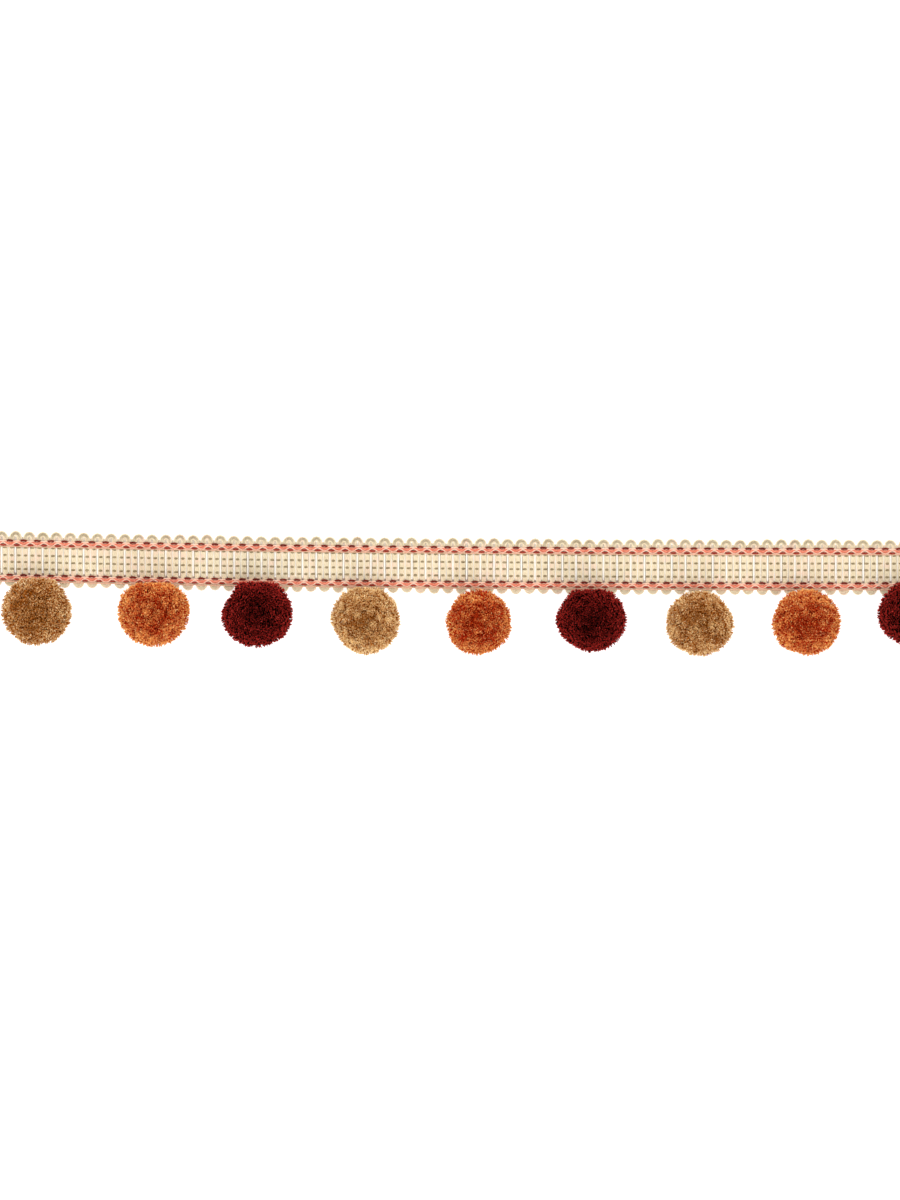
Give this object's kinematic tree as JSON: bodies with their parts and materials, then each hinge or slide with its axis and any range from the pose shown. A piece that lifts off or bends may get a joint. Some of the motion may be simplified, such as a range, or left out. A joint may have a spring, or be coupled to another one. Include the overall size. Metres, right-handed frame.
{
  "type": "pompom fringe trim",
  "caption": "Cut length of pompom fringe trim: a flat woven heading with looped edges and raised beaded cords, and round pile pompoms tied in a row along its lower edge.",
  "frame": {"origin": "middle of the heading's back, on the face that is sewn down", "axes": "+X along the heading, +Y across it, away from the pompoms, +Z out of its face"},
  "size_m": [0.2628, 0.033, 0.018],
  "materials": {
    "ivory_yarn": "matt plied yarn, woven",
    "coral_yarn": "soft twisted yarn, beaded",
    "tan_pile": "dense cut pile",
    "rust_pile": "dense cut pile",
    "burgundy_pile": "dense cut pile"
  },
  "bodies": {
    "root": {"heading": "ivory_yarn", "coral_cord_upper": "coral_yarn", "coral_cord_lower": "coral_yarn", "pompom_1": "tan_pile", "tie_1": "ivory_yarn", "pompom_2": "rust_pile", "tie_2": "ivory_yarn", "pompom_3": "burgundy_pile", "tie_3": "ivory_yarn", "pompom_4": "tan_pile", "tie_4": "ivory_yarn", "pompom_5": "rust_pile", "tie_5": "ivory_yarn", "pompom_6": "burgundy_pile", "tie_6": "ivory_yarn", "pompom_7": "tan_pile", "tie_7": "ivory_yarn", "pompom_8": "rust_pile", "tie_8": "ivory_yarn", "pompom_9": "burgundy_pile", "tie_9": "ivory_yarn"}
  },
  "joints": []
}
